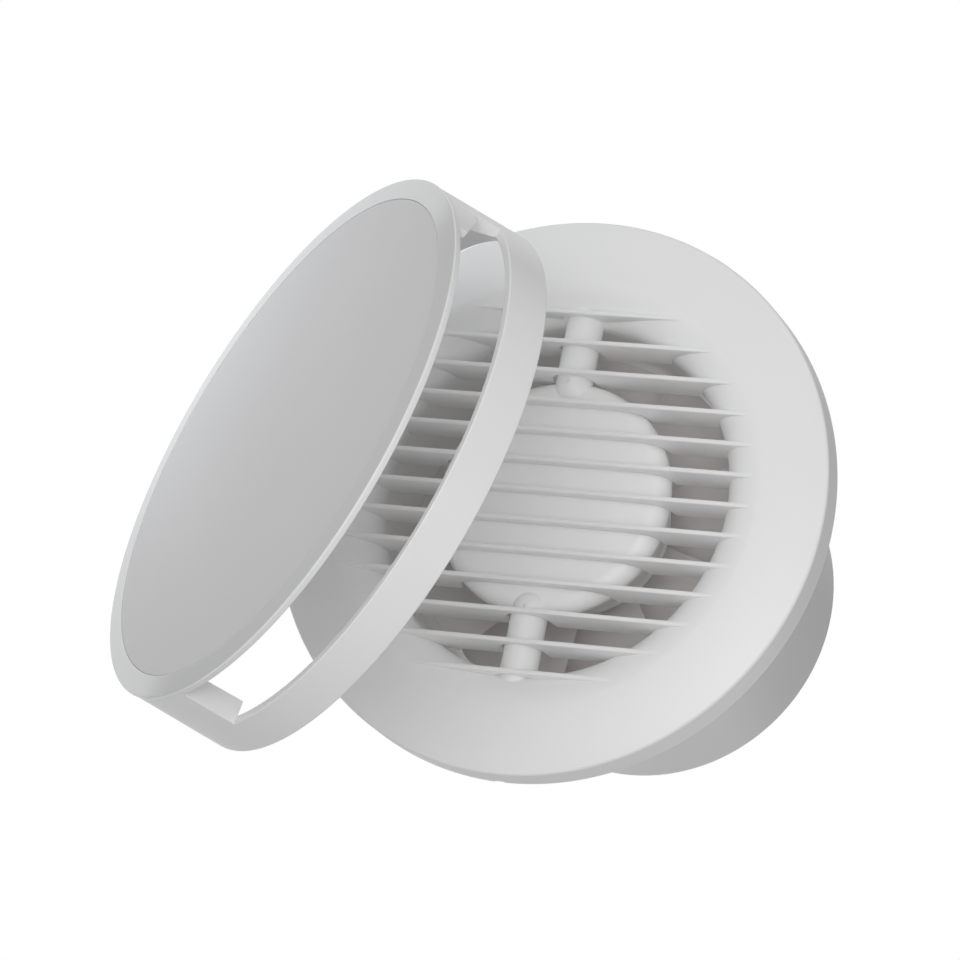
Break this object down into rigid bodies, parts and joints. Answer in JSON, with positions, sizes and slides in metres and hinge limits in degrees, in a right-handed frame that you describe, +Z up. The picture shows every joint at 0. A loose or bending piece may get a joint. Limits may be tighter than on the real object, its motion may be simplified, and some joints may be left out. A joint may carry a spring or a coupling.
{
  "type": "bathroom exhaust fan",
  "caption": "Round wall exhaust fan with a slatted bell-mouth face, a motor and axial impeller in a duct spigot, and a front cover with a flat panel swung away from the face",
  "frame": {"origin": "on the fan's axis in the plane of the wall, where the spigot leaves the base plate", "axes": "+Y along the spigot into the duct, -Y out into the room, +Z up, +X along the slats to the right seen from the room"},
  "size_m": [0.175, 0.2171, 0.1655],
  "materials": {
    "body_white": "satin",
    "face_white": "satin",
    "cover_white": "gloss",
    "panel_white": "satin",
    "screw_steel": "zinc plated",
    "shaft_steel": "ground",
    "core_iron": "laminated",
    "copper": "enamelled",
    "bearing_bronze": "sintered",
    "bobbin_nylon": "matte",
    "terminal_nylon": "matte",
    "washer_nylon": "matte",
    "grommet_rubber": "matte"
  },
  "bodies": {
    "fan_body": {"duct_spigot": "body_white", "base_plate": "body_white", "face_shell": "face_white", "grille_slats": "face_white", "motor_housing": "body_white", "motor_cap": "body_white", "motor_cap_screws": "screw_steel", "post_screws": "screw_steel", "stator_core": "core_iron", "shading_rings": "copper", "coil_bobbin": "bobbin_nylon", "stator_coil": "copper", "front_bearing": "bearing_bronze", "rear_bearing": "bearing_bronze", "terminal_block": "terminal_nylon", "terminal_screws": "screw_steel", "cable_grommet": "grommet_rubber", "cable_clamp": "body_white", "clamp_screws": "screw_steel"},
    "rotor": {"motor_shaft": "shaft_steel", "motor_rotor": "core_iron", "thrust_washers": "washer_nylon", "impeller": "body_white", "impeller_clip": "shaft_steel"},
    "cover": {"cover_frame": "cover_white", "front_panel": "panel_white"}
  },
  "joints": [
    {"name": "impeller_spin", "type": "hinge", "parent": "fan_body", "child": "rotor", "pos_m": [0, 0.03, 0], "axis": [0, 1, 0], "continuous": true},
    {"name": "cover_swing", "type": "hinge", "parent": "fan_body", "child": "cover", "pos_m": [-0.07767, -0.01173, 0.01118], "axis": [0.1385, -0.3935, 0.9088], "range_deg": [0, 45.69]}
  ]
}
